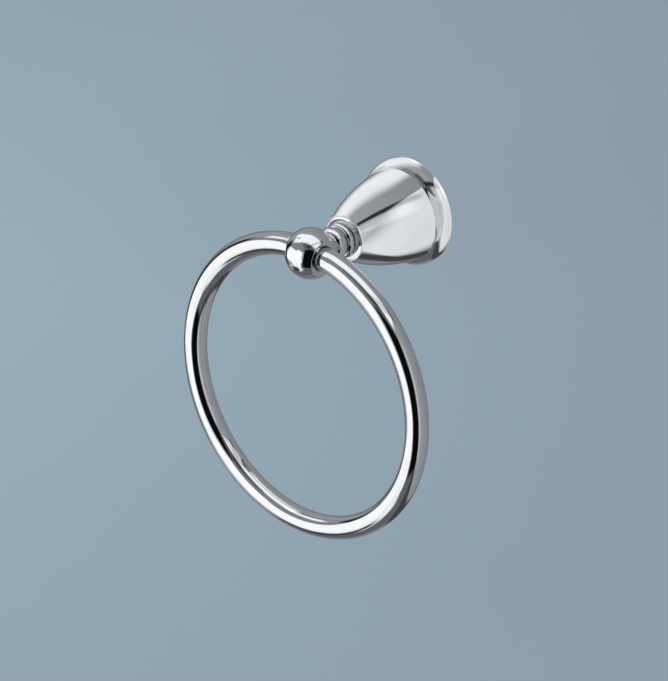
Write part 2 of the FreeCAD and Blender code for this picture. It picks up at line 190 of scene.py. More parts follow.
def metal(tree, colour, roughness, height, depth_mm):
    """Metal whose colour, roughness and surface height come from patterns; depth is the full height."""
    bump = add_node(tree, "ShaderNodeBump", {"Height": height, "Distance": depth_mm * MM, "Strength": 1.0})
    shader = add_node(tree, "ShaderNodeBsdfPrincipled", {
        "Base Color": colour, "Metallic": 1.0, "Roughness": roughness, "Normal": bump.outputs[0]})
    add_node(tree, "ShaderNodeOutputMaterial", {"Surface": shader.outputs[0]})


print("edges look worn from a pointiness of", WORN_EDGE["From Min"])

# %% [markdown]
# ## Chrome plate
# Ring, ball end and post are brass or zinc that was buffed, nickel plated and flashed with bright chrome.
# A flat perfect mirror would look computer made. Real plate waves very faintly where the buffing wheel
# pressed, has a haze of fine marks that comes and goes, and is a touch duller on outer edges. All of that
# is roughness and bump over one cool, slightly dark grey.

# %% Polished chrome plate
HAZE_MM = 9.0
# Real buffing marks are some hundredths of a millimetre wide. They are drawn coarser, so that they show.
BUFFING_MARK_MM = 0.5
BUFFING_STRETCH = (1, 1, 9)
WAVE_MM = 3.5
WAVE_DEPTH_MM = 0.004
CLEAREST = 0.015
HAZIEST = 0.04
MARKS_ADD = 0.02
WEAR_ADDS = 0.015


def polished_chrome_plate():
    material, tree = new_material("polished_chrome_plate")
    place = add_node(tree, "ShaderNodeTexCoord").outputs["Object"]
    haze = speckle(tree, place, HAZE_MM, detail=3.0)
    marks = speckle(tree, place, BUFFING_MARK_MM, stretch=BUFFING_STRETCH)
    patches = add_node(tree, "ShaderNodeMapRange", {"Value": haze, **PATCHES}).outputs[0]
    plate = add_node(tree, "ShaderNodeMix", {
        MIX_FACTOR: patches, COLOUR_A: linear("#CDD2D6"), COLOUR_B: linear("#C8CDD2")}, data_type="RGBA")
    worn = worn_edges(tree)
    colour = add_node(tree, "ShaderNodeMix", {
        MIX_FACTOR: worn, COLOUR_A: plate.outputs[MIXED_COLOUR], COLOUR_B: linear("#B9BEC3")},
        data_type="RGBA")
    base = add_node(tree, "ShaderNodeMapRange", {
        "Value": haze, **WHOLE_NOISE, "To Min": CLEAREST, "To Max": HAZIEST}).outputs[0]
    fine = add_node(tree, "ShaderNodeMapRange", {
        "Value": marks, **UPPER_NOISE, "To Max": MARKS_ADD}).outputs[0]
    both = add_node(tree, "ShaderNodeMath", {0: base, 1: fine}, operation="ADD").outputs[0]
    roughness = add_node(tree, "ShaderNodeMath", {0: worn, 1: WEAR_ADDS, 2: both}, operation="MULTIPLY_ADD")
    waves = speckle(tree, place, WAVE_MM, detail=1.0)
    metal(tree, colour.outputs[MIXED_COLOUR], roughness.outputs[0], waves, WAVE_DEPTH_MM)
    return material


chrome = polished_chrome_plate()
print("made", chrome.name)

# %% [markdown]
# ## The metals that stay hidden
# The inside of the post was never buffed: it is die-cast zinc with a skin of dull plate, grainy from the
# mould. Bracket and screws are steel with bright zinc plating, which is satin and shifts a little between
# blue and straw. The lock washer is oiled spring steel, and the set screw is blackened with its edges rubbed.

# %% Cast, plated, spring and blackened metal
CLOUD_MM = 6.0


def hidden_metal(name, light, dark, worn, grain_mm, smoothest, roughest, grain_depth_mm, stretch=(1, 1, 1)):
    """Satin metal: two shades in cloudy patches, a grain that sets roughness and bump, and worn edges."""
    material, tree = new_material(name)
    place = add_node(tree, "ShaderNodeTexCoord").outputs["Object"]
    clouds = speckle(tree, place, CLOUD_MM, detail=3.0)
    grain = speckle(tree, place, grain_mm, detail=3.0, stretch=stretch)
    patches = add_node(tree, "ShaderNodeMapRange", {"Value": clouds, **PATCHES}).outputs[0]
    shade = add_node(tree, "ShaderNodeMix", {
        MIX_FACTOR: patches, COLOUR_A: linear(light), COLOUR_B: linear(dark)}, data_type="RGBA")
    colour = add_node(tree, "ShaderNodeMix", {
        MIX_FACTOR: worn_edges(tree), COLOUR_A: shade.outputs[MIXED_COLOUR], COLOUR_B: linear(worn)},
        data_type="RGBA")
    roughness = add_node(tree, "ShaderNodeMapRange", {
        "Value": grain, **WHOLE_NOISE, "To Min": smoothest, "To Max": roughest})
    metal(tree, colour.outputs[MIXED_COLOUR], roughness.outputs[0], grain, grain_depth_mm)
    return material


# The real grain of these metals is finer than a tenth of a millimetre. It is drawn coarser, so it shows.
as_cast_zinc = hidden_metal(
    "as_cast_zinc", light="#9A9EA2", dark="#83878B", worn="#A6AAAE", grain_mm=0.7,
    smoothest=0.38, roughest=0.58, grain_depth_mm=0.03)
zinc_plated_steel = hidden_metal(
    "zinc_plated_steel", light="#AEB6BF", dark="#B5B1A4", worn="#C4C6C8", grain_mm=0.35,
    smoothest=0.24, roughest=0.40, grain_depth_mm=0.006, stretch=(1, 1, 8))
oiled_spring_steel = hidden_metal(
    "oiled_spring_steel", light="#74767A", dark="#5E6064", worn="#9A9B9E", grain_mm=0.4,
    smoothest=0.30, roughest=0.46, grain_depth_mm=0.008)
black_oxide_steel = hidden_metal(
    "black_oxide_steel", light="#2A2B2E", dark="#1C1D20", worn="#6B6C70", grain_mm=0.3,
    smoothest=0.36, roughest=0.52, grain_depth_mm=0.006)
print("made", [m.name for m in bpy.data.materials if m.name.endswith(("zinc", "steel"))])

# %% [markdown]
# ## Turned shapes
# The post is cast and the ball end turned on a lathe, and both are round about an axis, so each is a
# profile drawn once and spun. The profile is a list of (radius, distance) points. Buffing rounds every
# corner a little, and a rounded corner catches a thin line of light, so a helper eases the sharp corners
# of a profile before it is spun.

# %% Arcs of a profile


def bulged(start, end, bulge, steps):
    """Arc between two (radius, distance) points that stands off its chord by the bulge."""
    (r0, d0), (r1, d1) = start, end
    length = math.hypot(r1 - r0, d1 - d0)
    across = ((d1 - d0) / length, -(r1 - r0) / length)
    radius = (length ** 2 / 4 + bulge ** 2) / (2 * bulge)
    half = math.asin(length / 2 / radius)
    r, d = (r0 + r1) / 2 - across[0] * (radius - bulge), (d0 + d1) / 2 - across[1] * (radius - bulge)
    middle = math.atan2(across[1], across[0])
    first = math.atan2(d0 - d, r0 - r)
    turn = -half if math.sin(first - middle) > 0 else half
    return [(r + radius * math.cos(middle + turn * k), d + radius * math.sin(middle + turn * k))
            for k in [-1 + 2 * i / steps for i in range(steps + 1)]]


print("an arc on a chord of 2 mm that bulges by 1 mm has its middle at", bulged((1, 0), (1, 2), 1.0, 2)[1])

# %% Rounding the corners of a profile
CORNER_DEGREES = 18
ROUNDING_SHARE = 0.45
ROUNDING_STEPS = (0, 0.25, 0.5, 0.75, 1)
HOLD = 0.04
HOLD_SHARE = 0.08
NEXT_TO_NOTHING = 1e-9


def softened(points, radius):
    """The profile with its corners rounded; its two ends stay as they are.

    A point just before and after each rounding keeps the flats next to it shaded flat.
    """
    spots = [Vector(p) for p in points]
    along = [0.0]
    for one, other in zip(spots, spots[1:]):
        along.append(along[-1] + (other - one).length)

    def spot_at(length):
        i = min(max(bisect.bisect_right(along, length) - 1, 0), len(spots) - 2)
        return spots[i].lerp(spots[i + 1], (length - along[i]) / (along[i + 1] - along[i]))

    turns = {}
    for i in range(1, len(spots) - 1):
        turn = (spots[i] - spots[i - 1]).angle(spots[i + 1] - spots[i])
        if math.degrees(turn) > CORNER_DEGREES:
            turns[i] = turn
    stops = [0, *turns, len(spots) - 1]
    pieces = []
    free_from = -1.0
    for i, spot in enumerate(spots):
        if i in turns:
            k = stops.index(i)
            room = ROUNDING_SHARE * min(along[i] - along[stops[k - 1]], along[stops[k + 1]] - along[i])
            reach = min(radius * math.tan(turns[i] / 2), room)
            while pieces and pieces[-1][0] > along[i] - reach:
                pieces.pop()
            start, end = spot_at(along[i] - reach), spot_at(along[i] + reach)
            hold = min(HOLD, HOLD_SHARE * room)
            if not pieces or pieces[-1][0] < along[i] - reach - hold:
                pieces.append((along[i] - reach - hold, spot_at(along[i] - reach - hold)))
            for t in ROUNDING_STEPS:
                eased = start.lerp(spot, t).lerp(spot.lerp(end, t), t)
                pieces.append((along[i] - reach + 2 * reach * t, eased))
            free_from = along[i] + reach + hold
            pieces.append((free_from, spot_at(free_from)))
        elif along[i] > free_from + NEXT_TO_NOTHING:
            pieces.append((along[i], spot))
    return [tuple(spot) for _, spot in pieces]


print("a rounded square corner has", len(softened([(0, 0), (1, 0), (1, 1)], 0.2)), "points")

# %% [markdown]
# ## From a profile to a piece
# The lathe spins a profile into a mesh, and booleans join or cut the meshes, as milling and drilling do.
# Each finished piece is shaded smooth with its real edges kept crisp, and is tied to its place in the
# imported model.

# %% Lathe
ALONG_POST = Matrix(((1, 0, 0), (0, 0, -1), (0, 1, 0)))
ALONG_BORE = Matrix(((0, 0, 1), (1, 0, 0), (0, 1, 0)))
UPRIGHT = Matrix.Identity(3)
SIDES = 256
ON_THE_AXIS = 1e-6


def new_piece(name, data):
    piece = bpy.data.objects.new(name, data)
    bpy.context.scene.collection.objects.link(piece)
    return piece


def lathe(name, profile, turn, shift=(0, 0, 0), sides=SIDES, closed=False):
    """Mesh spun from (radius, distance) points, turned to its axis and shifted there in millimetres."""
    mesh = bmesh.new()
    rings = []
    for radius, distance in profile:
        count = 1 if radius < ON_THE_AXIS else sides
        angles = [2 * math.pi * i / sides for i in range(count)]
        spots = [Vector((radius * math.cos(a), radius * math.sin(a), distance)) for a in angles]
        rings.append([mesh.verts.new((turn @ spot + Vector(shift)) * MM) for spot in spots])
    pairs = list(zip(rings, rings[1:]))
    if closed:
        pairs.append((rings[-1], rings[0]))
    for one, other in pairs:
        for i in range(sides):
            j = (i + 1) % sides
            corners = [one[i % len(one)], one[j % len(one)], other[j % len(other)], other[i % len(other)]]
            unique = list(dict.fromkeys(corners))
            if len(unique) > 2:
                mesh.faces.new(unique)
    bmesh.ops.recalc_face_normals(mesh, faces=mesh.faces)
    data = bpy.data.meshes.new(name)
    mesh.to_mesh(data)
    mesh.free()
    return new_piece(name, data)


print("lathed pieces have", SIDES, "sides")

# %% Booleans and finishing
SHARP_DEGREES = 32


def settle(piece):
    """Turn an object with modifiers into a plain mesh."""
    graph = bpy.context.evaluated_depsgraph_get()
    graph.update()
    plain = bpy.data.meshes.new_from_object(piece.evaluated_get(graph))
    piece.modifiers.clear()
    piece.data = plain


def boolean(piece, other, operation):
    modifier = piece.modifiers.new("cut", "BOOLEAN")
    modifier.object = other
    modifier.operation = operation
    modifier.solver = "EXACT"
    settle(piece)
    bpy.data.objects.remove(other)


def dress(piece, *materials):
    piece.data.materials.clear()
    for material in materials:
        piece.data.materials.append(material)


def finish(piece, body, node):
    """Smooth shading with crisp real edges, and the piece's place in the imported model."""
    piece.data.shade_smooth()
    piece.data.set_sharp_from_angle(angle=math.radians(SHARP_DEGREES))
    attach(piece, body)
    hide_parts(node)
    print(piece.name, "faces", len(piece.data.polygons))


print("edges stay crisp from", SHARP_DEGREES, "degrees")

# %% [markdown]
# ## Ball end
# The real one is a single turned piece: a ball, two crisp beads that narrow towards it, and a thin base
# ring that sits on the post. Two flats are milled on the ball and the hole for the ring is drilled across
# it, with a shallow dish round each mouth. The ball is spun about the bore, which gives flats, dishes and
# bore in one profile, and the neck is spun about the post. A boolean joins the two.

# %% Ball with its flats, dishes and bore
BALL_RADIUS = 12.95
FACET = 9.0
FACET_LAND = 0.5
BORE_RADIUS = 6.25
DISH_DEPTH = 0.9
INNER_LIP_RADIUS = 7.1
INNER_LIP_DEPTH = 0.30
OUTER_LIP_WIDTH = 0.15
OUTER_LIP_DEPTH = 0.20
BALL_STEPS = 96
BALL_ROUNDING = 0.3


def ball_profile():
    """Profile about the bore: radius from the bore's axis, distance from the ball's middle."""
    start = math.acos(FACET / BALL_RADIUS)
    sphere = [(BALL_RADIUS * math.sin(t), BALL_RADIUS * math.cos(t))
              for t in [start + (math.pi - 2 * start) * i / BALL_STEPS for i in range(BALL_STEPS + 1)]]
    rim = BALL_RADIUS * math.sin(start) - FACET_LAND
    dish = [(BORE_RADIUS, FACET - DISH_DEPTH), (INNER_LIP_RADIUS, FACET - INNER_LIP_DEPTH),
            (rim - OUTER_LIP_WIDTH, FACET - OUTER_LIP_DEPTH), (rim, FACET)]
    other_dish = [(radius, -along) for radius, along in reversed(dish)]
    middle = (BORE_RADIUS, 0)
    return softened([middle, *dish, *sphere, *other_dish, middle], BALL_ROUNDING)[:-1]


ball_end = lathe("ball_end_chrome", ball_profile(), ALONG_BORE, (0, -BALL_DISTANCE, 0), closed=True)
print("ball across its flats", 2 * FACET, "mm, and round", 2 * BALL_RADIUS, "mm")

# %% Neck with its beads and grooves
# Points are (radius, distance), and an arc is its two ends, its bulge and its steps.
SCREW_HOLE = [(0, 62.1), (3.05, 60.3), (3.05, 48.4)]
SPIGOT = [(5, 48.4), (5, SEAT_DISTANCE)]
BASE_RING = ((9.05, SEAT_DISTANCE), (9.05, 51.0), 0.35, 10)
FIRST_GROOVE = [(7.5, 51.0), (7.5, 51.3)]
LARGE_BEAD = ((8.3, 51.3), (7.6, 55.2), 1.35, 40)
SECOND_GROOVE = [(6.9, 55.25), (6.9, 55.75)]
SMALL_BEAD = ((7.6, 55.8), (6.5, 62.1), 1.6, 48)
STUB_IN_BALL = [(6.5, 63.1), (6.45, 65), (0, 65)]
NECK_ROUNDING = 0.13

neck_profile = [*SCREW_HOLE, *SPIGOT, *bulged(*BASE_RING), *FIRST_GROOVE, *bulged(*LARGE_BEAD),
                *SECOND_GROOVE, *bulged(*SMALL_BEAD), *STUB_IN_BALL]
neck = lathe("neck", softened(neck_profile, NECK_ROUNDING), ALONG_POST)
boolean(ball_end, neck, "UNION")
dress(ball_end, chrome)
finish(ball_end, "post", "ball_end")

# %% [markdown]
# ## Post
# The post is a hollow casting: a bell that swells and narrows to a collar, standing on a round flange with
# a rolled edge. A web closes the front and carries the ball end. Inside are the wedge and two cheeks that
# hook over the bracket, and a boss below that the set screw is tapped through. The outside is one spun
# profile, and the cast inside gets its own dull metal.

# %% Profile of the post
FLANGE_RADIUS = 28.0
FLANGE_EDGE = 1.2
RIM_CHAMFER = 0.3
RIM_INNER_RADIUS = 25.4
BELL_FOOT = (24.3, 8.5)
COLLAR = (11.9, 48.8)
COLLAR_FACE_EDGE = (11.45, 49.8)
SEAT_RADIUS = 10.0
ROLL_BULGE = 1.1
BELL_BULGE = 2.3
COLLAR_BULGE = 0.45
COLLAR_STEPS = 8
SHELL_THICKNESS = 2.6
SPIGOT_POCKET = (5.1, 48.3)
SCREW_CLEARANCE = 3.2
POST_ROUNDING = 0.22
# Steps round the rolled edge and along the bell, outside and inside.
OUTSIDE_STEPS = (30, 80)
INSIDE_STEPS = (16, 60)


def skirt(inset, steps):
    """Rolled edge and bell from the flange to the collar, drawn in by the inset."""
    foot = (BELL_FOOT[0] - inset, BELL_FOOT[1])
    roll = bulged((FLANGE_RADIUS - inset, FLANGE_EDGE), foot, ROLL_BULGE, steps[0])
    bell = bulged(foot, (COLLAR[0] - inset, COLLAR[1]), BELL_BULGE, steps[1])
    return roll + bell[1:]


def shell_profile():
    """Round the shell once: web hole, spigot pocket, seat, collar, outside, rim and inside."""
    pocket_radius, pocket_floor = SPIGOT_POCKET
    points = [(SCREW_CLEARANCE, WEB_DISTANCE), (SCREW_CLEARANCE, pocket_floor), SPIGOT_POCKET,
              (pocket_radius, SEAT_DISTANCE), (SEAT_RADIUS, SEAT_DISTANCE)]
    points += bulged(COLLAR, COLLAR_FACE_EDGE, COLLAR_BULGE, COLLAR_STEPS)[::-1]
    points += skirt(0, OUTSIDE_STEPS)[::-1][1:]
    points += [(FLANGE_RADIUS, RIM_CHAMFER), (FLANGE_RADIUS - RIM_CHAMFER, 0), (RIM_INNER_RADIUS, 0)]
    inner = skirt(SHELL_THICKNESS, INSIDE_STEPS)
    points += [p for p in inner if p[1] < WEB_DISTANCE]
    edge = next(p for p in inner if p[1] >= WEB_DISTANCE)
    points += [(edge[0], WEB_DISTANCE), (SCREW_CLEARANCE, WEB_DISTANCE)]
    return softened(points, POST_ROUNDING)[:-1]


post_shell = lathe("post_shell_chrome", shell_profile(), ALONG_POST, closed=True)
print("post is", 2 * FLANGE_RADIUS, "mm wide and its seat is at", SEAT_DISTANCE, "mm")

# %% Blocks with flat faces
FLAT_ANGLE = 0.01


def hull(name, corners):
    """Convex block round a few corner points in millimetres."""
    mesh = bmesh.new()
    for corner in corners:
        mesh.verts.new(Vector(corner) * MM)
    bmesh.ops.convex_hull(mesh, input=mesh.verts)
    bmesh.ops.dissolve_limit(mesh, angle_limit=FLAT_ANGLE, verts=mesh.verts, edges=mesh.edges)
    bmesh.ops.recalc_face_normals(mesh, faces=mesh.faces)
    data = bpy.data.meshes.new(name)
    mesh.to_mesh(data)
    mesh.free()
    return new_piece(name, data)


def box_corners(low, high):
    return [(x, y, z) for x in (low[0], high[0]) for y in (low[1], high[1]) for z in (low[2], high[2])]


print("a box has", len(box_corners((0, 0, 0), (1, 1, 1))), "corners")

# %% What is cast inside the post
LIP_BACK_HEIGHT = 16.16
HOOK_GAP = 0.05
HOOK_RECESS = 0.5
HOOK_FAR = 5.0
HALF_SLOT = 11.3
CHEEK = 1.8
CHEEK_FOOT = 12.5
BOSS_HALF_WIDTH = 4.2
BOSS_FAR = 6.7
BOSS_TOP = -21.54
CORE_FROM = -1
CORE_STEPS = (16, 40)


def core():
    """Space inside the middle of the shell's thickness, up to the web."""
    inner = [p for p in skirt(SHELL_THICKNESS / 2, CORE_STEPS) if p[1] < WEB_DISTANCE]
    foot = [(0, CORE_FROM), (inner[0][0], CORE_FROM)]
    return lathe("core", [*foot, *inner, (inner[-1][0], WEB_DISTANCE), (0, WEB_DISTANCE)], ALONG_POST)


def inside_pieces():
    """Wedge, cheeks and boss, each drawn out past the shell; the core trims them to its inside.

    The wedge's foot slopes at 45 degrees like the bracket's lip, so it rises as it goes out.
    """
    low, high = (LIP_BACK_HEIGHT + distance + HOOK_GAP for distance in (HOOK_RECESS, HOOK_FAR))
    wedge = [(x, -d, z) for x in (-HALF_SLOT, HALF_SLOT) for d, z in (
        (HOOK_RECESS, low), (HOOK_FAR, high), (HOOK_FAR, FLANGE_RADIUS), (HOOK_RECESS, FLANGE_RADIUS))]
    pieces = [hull("hook_wedge", wedge)]
    for side in (-HALF_SLOT - CHEEK, HALF_SLOT):
        cheek = box_corners((side, -HOOK_FAR, CHEEK_FOOT), (side + CHEEK, -HOOK_RECESS, FLANGE_RADIUS))
        pieces.append(hull("cheek", cheek))
    boss = box_corners(
        (-BOSS_HALF_WIDTH, -BOSS_FAR, -FLANGE_RADIUS), (BOSS_HALF_WIDTH, -HOOK_RECESS, BOSS_TOP))
    pieces.append(hull("boss", boss))
    return pieces


cast_inside = inside_pieces()
print("cast inside the post", [part.name for part in cast_inside])

# %% Joining them and drilling for the set screw
SET_SCREW_DISTANCE = 3.2
SET_SCREW_HOLE_RADIUS = 2.05
SET_SCREW_HOLE_FROM = -40
SET_SCREW_HOLE_TO = -12
HOLE_SIDES = 48

for part in cast_inside:
    boolean(part, core(), "INTERSECT")
    boolean(post_shell, part, "UNION")
drill = [(0, SET_SCREW_HOLE_FROM), (SET_SCREW_HOLE_RADIUS, SET_SCREW_HOLE_FROM),
         (SET_SCREW_HOLE_RADIUS, SET_SCREW_HOLE_TO), (0, SET_SCREW_HOLE_TO)]
boolean(post_shell, lathe("hole", drill, UPRIGHT, (0, -SET_SCREW_DISTANCE, 0), HOLE_SIDES), "DIFFERENCE")
dress(post_shell, chrome, as_cast_zinc)
print("post shell has", len(post_shell.data.polygons), "faces")

# %% Where the post is polished and where it is left as cast
# A face is as cast where it lies this far in from the outside, above the rim and below the web's front.
SKIN = 1.0
RIM_SKIN = 0.05
WEB_SKIN = 0.1


def outside_radius(distance):
    spots = skirt(0, OUTSIDE_STEPS)
    for one, other in zip(spots, spots[1:]):
        if one[1] <= distance <= other[1]:
            return one[0] + (other[0] - one[0]) * (distance - one[1]) / (other[1] - one[1])
    return FLANGE_RADIUS


for face in post_shell.data.polygons:
    spot = face.center / MM
    deep = math.hypot(spot.x, spot.z) < outside_radius(-spot.y) - SKIN
    face.material_index = 1 if deep and RIM_SKIN < -spot.y < WEB_DISTANCE + WEB_SKIN else 0
finish(post_shell, "post", "post_shell")

# %% [markdown]
# ## Ring
# The real ring is round brass tube, rolled into a circle and welded shut, with a short straight run where it
# passes through the ball. Its shape follows a rule, one circle swept along a path, so Geometry Nodes make
# it: the path goes in as a curve, the tube radius and the number of sides are inputs, and the result is
# turned into a plain mesh.

# %% Path of the ring
RING_RADIUS = 75.05
TUBE_RADIUS = 5.95
HALF_STRAIGHT = 10.8
SHOULDER_RADIUS = 25.0
STRAIGHT_STEPS = 12
HALF_RING_STEPS = 320


def ring_path():
    """Points (x, z) of the ring's centre line, with the bore's middle as zero."""
    lift = RING_RADIUS - SHOULDER_RADIUS
    bend = math.asin(HALF_STRAIGHT / lift)
    drop = lift * math.cos(bend) + SHOULDER_RADIUS
    half = [(HALF_STRAIGHT * i / STRAIGHT_STEPS, 0) for i in range(STRAIGHT_STEPS + 1)]
    for i in range(1, STRAIGHT_STEPS + 1):
        a = bend * i / STRAIGHT_STEPS
        half.append((HALF_STRAIGHT + SHOULDER_RADIUS * math.sin(a), -SHOULDER_RADIUS * (1 - math.cos(a))))
    for i in range(1, HALF_RING_STEPS + 1):
        a = bend + (math.pi - bend) * i / HALF_RING_STEPS
        half.append((RING_RADIUS * math.sin(a), RING_RADIUS * math.cos(a) - drop))
    other = [(-x, z) for x, z in half[1:-1]]
    return half + other[::-1]


def ring_curve():
    path = ring_path()
    curve = bpy.data.curves.new("ring_path", "CURVE")
    curve.dimensions = "3D"
    spline = curve.splines.new("POLY")
    spline.points.add(len(path) - 1)
    for point, (x, z) in zip(spline.points, path):
        point.co = (x * MM, -BALL_DISTANCE * MM, z * MM, 1)
    spline.use_cyclic_u = True
    return new_piece("ring_path", curve)


print("ring's centre line has", len(ring_path()), "points")

# %% Building and running a geometry tree


def new_tree(name, sizes):
    """Empty geometry tree with a Geometry input and named sizes; returns their socket identifiers."""
    tree = bpy.data.node_groups.new(name, "GeometryNodeTree")
    face = tree.interface
    face.new_socket("Geometry", in_out="INPUT", socket_type="NodeSocketGeometry")
    keys = {}
    for size, kind in sizes.items():
        keys[size] = face.new_socket(size, in_out="INPUT", socket_type=kind).identifier
    face.new_socket("Geometry", in_out="OUTPUT", socket_type="NodeSocketGeometry")
    return tree, keys


def close_tree(tree, geometry, material):
    """End the tree in Realize Instances and Set Material, so that the export keeps all of it."""
    real = add_node(tree, "GeometryNodeRealizeInstances", {"Geometry": geometry})
    dressed = add_node(tree, "GeometryNodeSetMaterial", {"Geometry": real.outputs[0], "Material": material})
    add_node(tree, "NodeGroupOutput", {"Geometry": dressed.outputs[0]})


def run_tree(source, tree, keys, values):
    """Plain mesh that the tree makes of the source object, which is then removed."""
    modifier = source.modifiers.new("shape", "NODES")
    modifier.node_group = tree
    for size, value in values.items():
        modifier[keys[size]] = value
    graph = bpy.context.evaluated_depsgraph_get()
    graph.update()
    mesh = bpy.data.meshes.new_from_object(source.evaluated_get(graph))
    bpy.data.objects.remove(source)
    print(tree.name, "made", len(mesh.vertices), "points")
    return mesh


# %% Tube swept along the path
TUBE_SIDES = 96


def tube_tree(material):
    tree, keys = new_tree("tube_along_path", {"Tube radius": "NodeSocketFloat", "Sides": "NodeSocketInt"})
    start = add_node(tree, "NodeGroupInput")
    circle = add_node(tree, "GeometryNodeCurvePrimitiveCircle", {
        "Resolution": start.outputs["Sides"], "Radius": start.outputs["Tube radius"]})
    sweep = add_node(tree, "GeometryNodeCurveToMesh", {
        "Curve": start.outputs["Geometry"], "Profile Curve": circle.outputs["Curve"]})
    close_tree(tree, sweep.outputs[0], material)
    return tree, keys


ring_sizes = {"Tube radius": TUBE_RADIUS * MM, "Sides": TUBE_SIDES}
ring = new_piece("ring_chrome_tube", run_tree(ring_curve(), *tube_tree(chrome), ring_sizes))
finish(ring, "hanging_ring", "ring")

# %% [markdown]
# ## Screws
# A screw thread repeats once a turn, so it suits Geometry Nodes. Each screw starts as a smooth turned body
# with many fine rings along its shank. The tree then sinks a groove into it: a point moves towards the axis
# by an amount that depends on how far it is along the screw less its turn round it, which makes a
# right-handed helix. The thread fades out at both ends. Head recesses are cut after that with booleans.

# %% Thread tree
ROOT_FROM = 0.92


def thread_tree(material):
    """Tree for an upright screw: it sinks a groove of the Depth into the Radius, once every Pitch.

    Crest is the share of each half pitch that stays uncut, and First and Last bound the thread.
    """
    sizes = ("Pitch", "Depth", "Radius", "Crest", "First", "Last")
    tree, keys = new_tree("cut_thread", {size: "NodeSocketFloat" for size in sizes})
    start = add_node(tree, "NodeGroupInput")
    pitch, depth, radius, crest, first, last = (start.outputs[size] for size in sizes)
    place = add_node(tree, "GeometryNodeInputPosition").outputs[0]
    x, y, along = add_node(tree, "ShaderNodeSeparateXYZ", {0: place}).outputs

    angle = add_node(tree, "ShaderNodeMath", {0: y, 1: x}, operation="ARCTAN2").outputs[0]
    turns = add_node(tree, "ShaderNodeMath", {0: angle, 1: 2 * math.pi}, operation="DIVIDE").outputs[0]
    pitches = add_node(tree, "ShaderNodeMath", {0: along, 1: pitch}, operation="DIVIDE").outputs[0]
    phase = add_node(tree, "ShaderNodeMath", {0: pitches, 1: turns}, operation="SUBTRACT").outputs[0]
    zigzag = add_node(tree, "ShaderNodeMath", {0: phase, 1: 0.5}, operation="PINGPONG").outputs[0]
    rise = add_node(tree, "ShaderNodeMath", {0: zigzag, 1: 2.0}, operation="MULTIPLY").outputs[0]
    groove = add_node(tree, "ShaderNodeMapRange", {
        "Value": rise, "From Min": crest, "From Max": ROOT_FROM}).outputs[0]

    full_from = add_node(tree, "ShaderNodeMath", {0: first, 1: pitch}, operation="ADD").outputs[0]
    full_to = add_node(tree, "ShaderNodeMath", {0: last, 1: pitch}, operation="SUBTRACT").outputs[0]
    inner = add_node(tree, "ShaderNodeMapRange", {
        "Value": along, "From Min": first, "From Max": full_from}).outputs[0]
    outer = add_node(tree, "ShaderNodeMapRange", {
        "Value": along, "From Min": last, "From Max": full_to}).outputs[0]
    between = add_node(tree, "ShaderNodeMath", {0: inner, 1: outer}, operation="MULTIPLY").outputs[0]
    depth_share = add_node(tree, "ShaderNodeMath", {0: depth, 1: radius}, operation="DIVIDE").outputs[0]
    share = add_node(tree, "ShaderNodeMath", {0: between, 1: depth_share}, operation="MULTIPLY").outputs[0]
    sunk = add_node(tree, "ShaderNodeMath", {0: share, 1: groove}, operation="MULTIPLY").outputs[0]
    shrink = add_node(tree, "ShaderNodeMath", {0: sunk, 1: -1.0}, operation="MULTIPLY").outputs[0]

    across = add_node(tree, "ShaderNodeCombineXYZ", {0: x, 1: y}).outputs[0]
    offset = add_node(tree, "ShaderNodeVectorMath", {0: across, "Scale": shrink}, operation="SCALE")
    moved = add_node(tree, "GeometryNodeSetPosition", {
        "Geometry": start.outputs[0], "Offset": offset.outputs[0]})
    close_tree(tree, moved.outputs[0], material)
    return tree, keys


print("a thread is at full depth from", ROOT_FROM, "of each half pitch")

# %% Profiles of the screws
RINGS_PER_PITCH = 10
MOST_TAPER_SHARE = 0.85
CROWN_RADIUS_SHARE = 0.65
RIM_HEIGHT_SHARE = 0.4
CROWN_BULGE_SHARE = 0.12
CROWN_STEPS = 12
NECK_SHARE = 0.86
HEAD_ROUNDING = 0.2


def shank(radius, start, end, tip_radius, tip, pitch):
    """Profile points from start to the tip, close enough for the thread to have something to move."""
    step = pitch / RINGS_PER_PITCH
    straight_count = round((end - start) / step)
    straight = [(radius, start + (end - start) * i / straight_count) for i in range(straight_count + 1)]
    count = max(round((tip - end) / step), 1)
    taper = [(radius + (tip_radius - radius) * i / count, end + (tip - end) * i / count)
             for i in range(1, count + 1)]
    return straight + taper + [(0, tip)]


def pan_profile(size):
    """Pan head with a low crown, a neck under it and a shank that tapers to its tip."""
    radius, length, point, neck, head, height = (size[k] for k in (
        "radius", "length", "point", "neck", "head", "height"))
    tip_radius = radius - min(point, radius * MOST_TAPER_SHARE)
    crown = bulged((CROWN_RADIUS_SHARE * head, -height), (head, -RIM_HEIGHT_SHARE * height),
                   CROWN_BULGE_SHARE * height, CROWN_STEPS)
    top = [(0, -height), *crown, (head, 0), (NECK_SHARE * radius, 0), (NECK_SHARE * radius, neck)]
    body = shank(radius, neck, length - point, tip_radius, length, size["pitch"])
    return softened(top, HEAD_ROUNDING) + body


print("a 1 mm pitch has", RINGS_PER_PITCH, "rings of points")

# %% Head recesses
BLADE_LENGTH_SHARE = 0.55
BLADE_WIDTH_SHARE = 0.085
BLADE_DEPTH_SHARE = 0.6
PROUD = 0.2
PROUD_WIDENS = 1.05
# Corner radius of a hexagon that is 2 mm across its flats.
HEX_CORNER_RADIUS = 1.1547
HEX_DEPTH = 2.4


